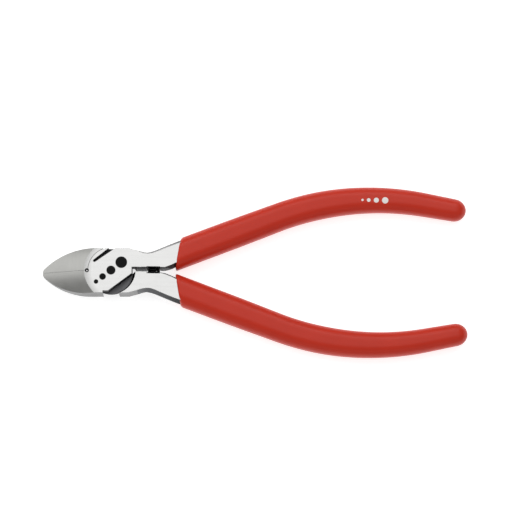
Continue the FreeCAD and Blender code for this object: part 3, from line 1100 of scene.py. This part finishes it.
    def build(self, material: bpy.types.Material) -> bpy.types.Object:
        """Builds the sleeve and sets it on its handle.

        Args:
            material: The vinyl.

        Returns:
            The new piece.
        """
        rings = self._lip_rings() + self._tube_rings() + self._cap_rings()
        piece = skin_rings(f"{self.node}_dipped", rings, close_start=False, close_end=True)
        piece.data.materials.append(material)
        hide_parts(self.node)
        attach(piece, self.body.value)
        LOG.info("%s: %d faces", piece.name, len(piece.data.polygons))
        return piece


@dataclass
class OpeningSpring:
    """The coil spring between the handles, its end turns closed and resting in the blind bores."""

    x: float = 15.8
    middle_z: float = 4.8
    low: float = -4.37
    high: float = 5.25
    coil_r: float = 2.05
    wire_r: float = 0.4
    turns: float = 10.0
    closed_turns: float = 0.5
    per_turn: int = 40
    around: int = 12

    def _rise(self, turn: float) -> float:
        """Gives the wire's place along the axis.

        Args:
            turn: How many turns from the low end.

        Returns:
            The distance along Y, in millimetres.
        """
        start, end = self.low + self.wire_r, self.high - self.wire_r
        closed = self.closed_turns * (2 * self.wire_r + 0.02)
        if turn < self.closed_turns:
            return start + closed * turn / self.closed_turns
        if turn > self.turns - self.closed_turns:
            return end - closed * (self.turns - turn) / self.closed_turns
        share = (turn - self.closed_turns) / (self.turns - 2 * self.closed_turns)
        return start + closed + (end - start - 2 * closed) * share

    def build(self, material: bpy.types.Material) -> bpy.types.Object:
        """Builds the spring between the two sides.

        Args:
            material: The wire's finish.

        Returns:
            The new piece.
        """
        steps = int(self.turns * self.per_turn)
        line = []
        for k in range(steps + 1):
            turn = self.turns * k / steps
            angle = 2 * math.pi * turn
            x, z = self.x + self.coil_r * math.cos(angle), self.middle_z + self.coil_r * math.sin(angle)
            line.append(Vector((x, self._rise(turn), z)))
        rings = []
        axis = Vector((self.x, 0.0, self.middle_z))
        for k, point in enumerate(line):
            ahead = (line[min(k + 1, steps)] - line[max(k - 1, 0)]).normalized()
            outward = point - axis
            outward.y = 0.0
            outward.normalize()
            up = ahead.cross(outward).normalized()
            ring = []
            for j in range(self.around):
                angle = 2 * math.pi * j / self.around
                ring.append(
                    (point + (outward * math.cos(angle) + up * math.sin(angle)) * self.wire_r) * MM
                )
            rings.append(ring)
        piece = skin_rings("opening_spring_coil", rings, close_start=True, close_end=True)
        piece.data.materials.append(material)
        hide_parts("opening_spring")
        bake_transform(piece)
        LOG.info("%s: %d faces", piece.name, len(piece.data.polygons))
        return piece


@dataclass(frozen=True)
class SoftBox:
    """A square lamp with a diffuser, aimed at the tool.

    Attributes:
        name: What it is for.
        place: Where it hangs from the aim, in metres.
        size: Its two sides, in metres.
        radiance: How bright its diffuser is.
    """

    name: str
    place: tuple[float, float, float]
    size: tuple[float, float]
    radiance: float

    def hang(self, aim: Vector) -> None:
        """Hangs the lamp and turns it to the object.

        Args:
            aim: The point that it faces.
        """
        lamp = bpy.data.lights.new(self.name, "AREA")
        lamp.shape = "RECTANGLE"
        lamp.size, lamp.size_y = self.size
        lamp.energy = self.radiance * math.pi * self.size[0] * self.size[1]
        holder = bpy.data.objects.new(self.name, lamp)
        holder.location = aim + Vector(self.place)
        holder.rotation_euler = Vector(self.place).to_track_quat("Z", "Y").to_euler()
        bpy.context.scene.collection.objects.link(holder)


@dataclass
class Studio:
    """A lit opal table under soft boxes, seen from nearly straight above.

    The aim and the clearance are in millimetres, the elevation in degrees, the view's width in
    millimetres and the table's side in metres.
    """

    aim: tuple[float, float, float] = (54.0, 6.7, 4.8)
    elevation: float = 79.5
    view_width: float = 192.5
    lens: float = 200.0
    table: float = 1.5
    clearance: float = 0.3
    boxes: tuple[SoftBox, ...] = (
        SoftBox("overhead_box", (0.0, 0.177, 0.954), (1.3, 0.70), 0.92),
        SoftBox("far_box", (0.0, 0.67, 0.743), (1.3, 0.41), 1.75),
        SoftBox("jaw_box", (-0.72, 0.32, 0.50), (0.65, 0.66), 0.87),
        SoftBox("near_box", (0.0, -0.80, 0.42), (1.3, 0.35), 0.35),
    )
    ambient: float = 0.35

    def build(self) -> None:
        """Lays the table top, hangs the lamps and sets up the camera."""
        scene = bpy.context.scene
        aim = Vector(self.aim) * MM
        half = self.table / 2
        signs = ((-1, -1), (1, -1), (1, 1), (-1, 1))
        shape = bmesh.new()
        corners = [shape.verts.new((aim.x + u * half, v * half, -self.clearance * MM)) for u, v in signs]
        shape.faces.new(corners)
        mesh = bpy.data.meshes.new("table_top")
        shape.to_mesh(mesh)
        shape.free()
        mesh.materials.append(OpalSheet().make())
        top = bpy.data.objects.new("table_top", mesh)
        scene.collection.objects.link(top)
        for box in self.boxes:
            box.hang(aim)
        world = bpy.data.worlds.new("studio_air")
        world.use_nodes = True
        world.node_tree.nodes.clear()
        sky = add_node(
            world.node_tree,
            "ShaderNodeBackground",
            {"Color": (1.0, 1.0, 1.0, 1.0), "Strength": self.ambient},
        )
        add_node(world.node_tree, "ShaderNodeOutputWorld", {"Surface": sky.outputs[0]})
        scene.world = world
        scene.view_settings.view_transform = "Standard"
        self._camera(aim)
        LOG.info("studio: %d soft boxes", len(self.boxes))

    def _camera(self, aim: Vector) -> None:
        """Sets the camera over the tool.

        Args:
            aim: The middle of the view, in metres.
        """
        data = bpy.data.cameras.new("camera")
        data.lens = self.lens
        away = self.view_width * MM / 2 / math.tan(math.atan(data.sensor_width / 2 / self.lens))
        tilt = math.radians(self.elevation)
        back = Vector((0.0, -math.cos(tilt), math.sin(tilt)))
        camera = bpy.data.objects.new("camera", data)
        camera.location = aim + back * away
        camera.rotation_euler = back.to_track_quat("Z", "Y").to_euler()
        data.clip_start, data.clip_end = 0.01, 20.0
        bpy.context.scene.collection.objects.link(camera)
        bpy.context.scene.camera = camera


def main() -> None:
    """Builds every piece in order and reports it."""
    logging.basicConfig(level=logging.INFO, format="%(name)s: %(message)s")
    head_print = DotMark(centre=(-0.4, -0.2), angle=38.0, radii=(0.85, 1.25, 1.7, 2.2), gap=1.0, lowest=9.4)
    sleeve_print = DotMark(centre=(99.2, 26.9), angle=-1.0, radii=(0.45, 0.7, 0.95, 1.2), gap=1.2, lowest=8.0)
    Forgings(PolishedForging(), head_print).dress()
    vinyl = DippedVinyl()
    DippedSleeve(Side.UPPER, "upper_sleeve", Body.FRONT).build(vinyl.make(sleeve_print))
    DippedSleeve(Side.LOWER, "lower_sleeve", Body.BACK).build(vinyl.make())
    OpeningSpring().build(BlackOxideWire().make())
    Studio().build()


if __name__ == "__main__":
    main()
